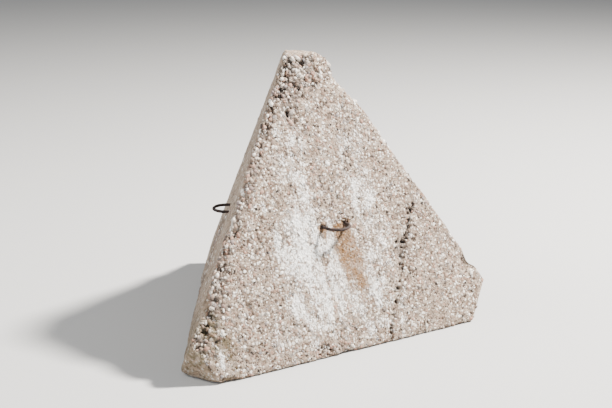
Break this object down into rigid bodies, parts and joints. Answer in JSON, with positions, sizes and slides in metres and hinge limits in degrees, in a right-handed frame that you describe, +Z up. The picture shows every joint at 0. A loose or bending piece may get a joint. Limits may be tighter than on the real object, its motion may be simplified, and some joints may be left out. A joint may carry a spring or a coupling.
{
  "type": "concrete tetrahedron armour block",
  "caption": "Solid concrete tetrahedron for shore protection, with cut-off corners, worn edges, a step where two pours met and rusty bent-bar lifting loops cast into its side faces.",
  "frame": {"origin": "middle of the face that the block lies on, on the ground", "axes": "+Z up, square to the ground; the front face, with a lifting loop, looks to -Y and leans back; +X to the right along the front edge"},
  "size_m": [1.3936, 1.2529, 1.1431],
  "materials": {
    "weathered_concrete": "weathered concrete, pinkish beige grey, with fine exposed aggregate, honeycombed edges and pale streaks",
    "rusty_bar": "plain round steel bar under a full coat of dark brown rust"
  },
  "bodies": {
    "root": {"concrete_block": "weathered_concrete", "lifting_loop_front": "rusty_bar", "lifting_loop_back": "rusty_bar"}
  },
  "joints": []
}
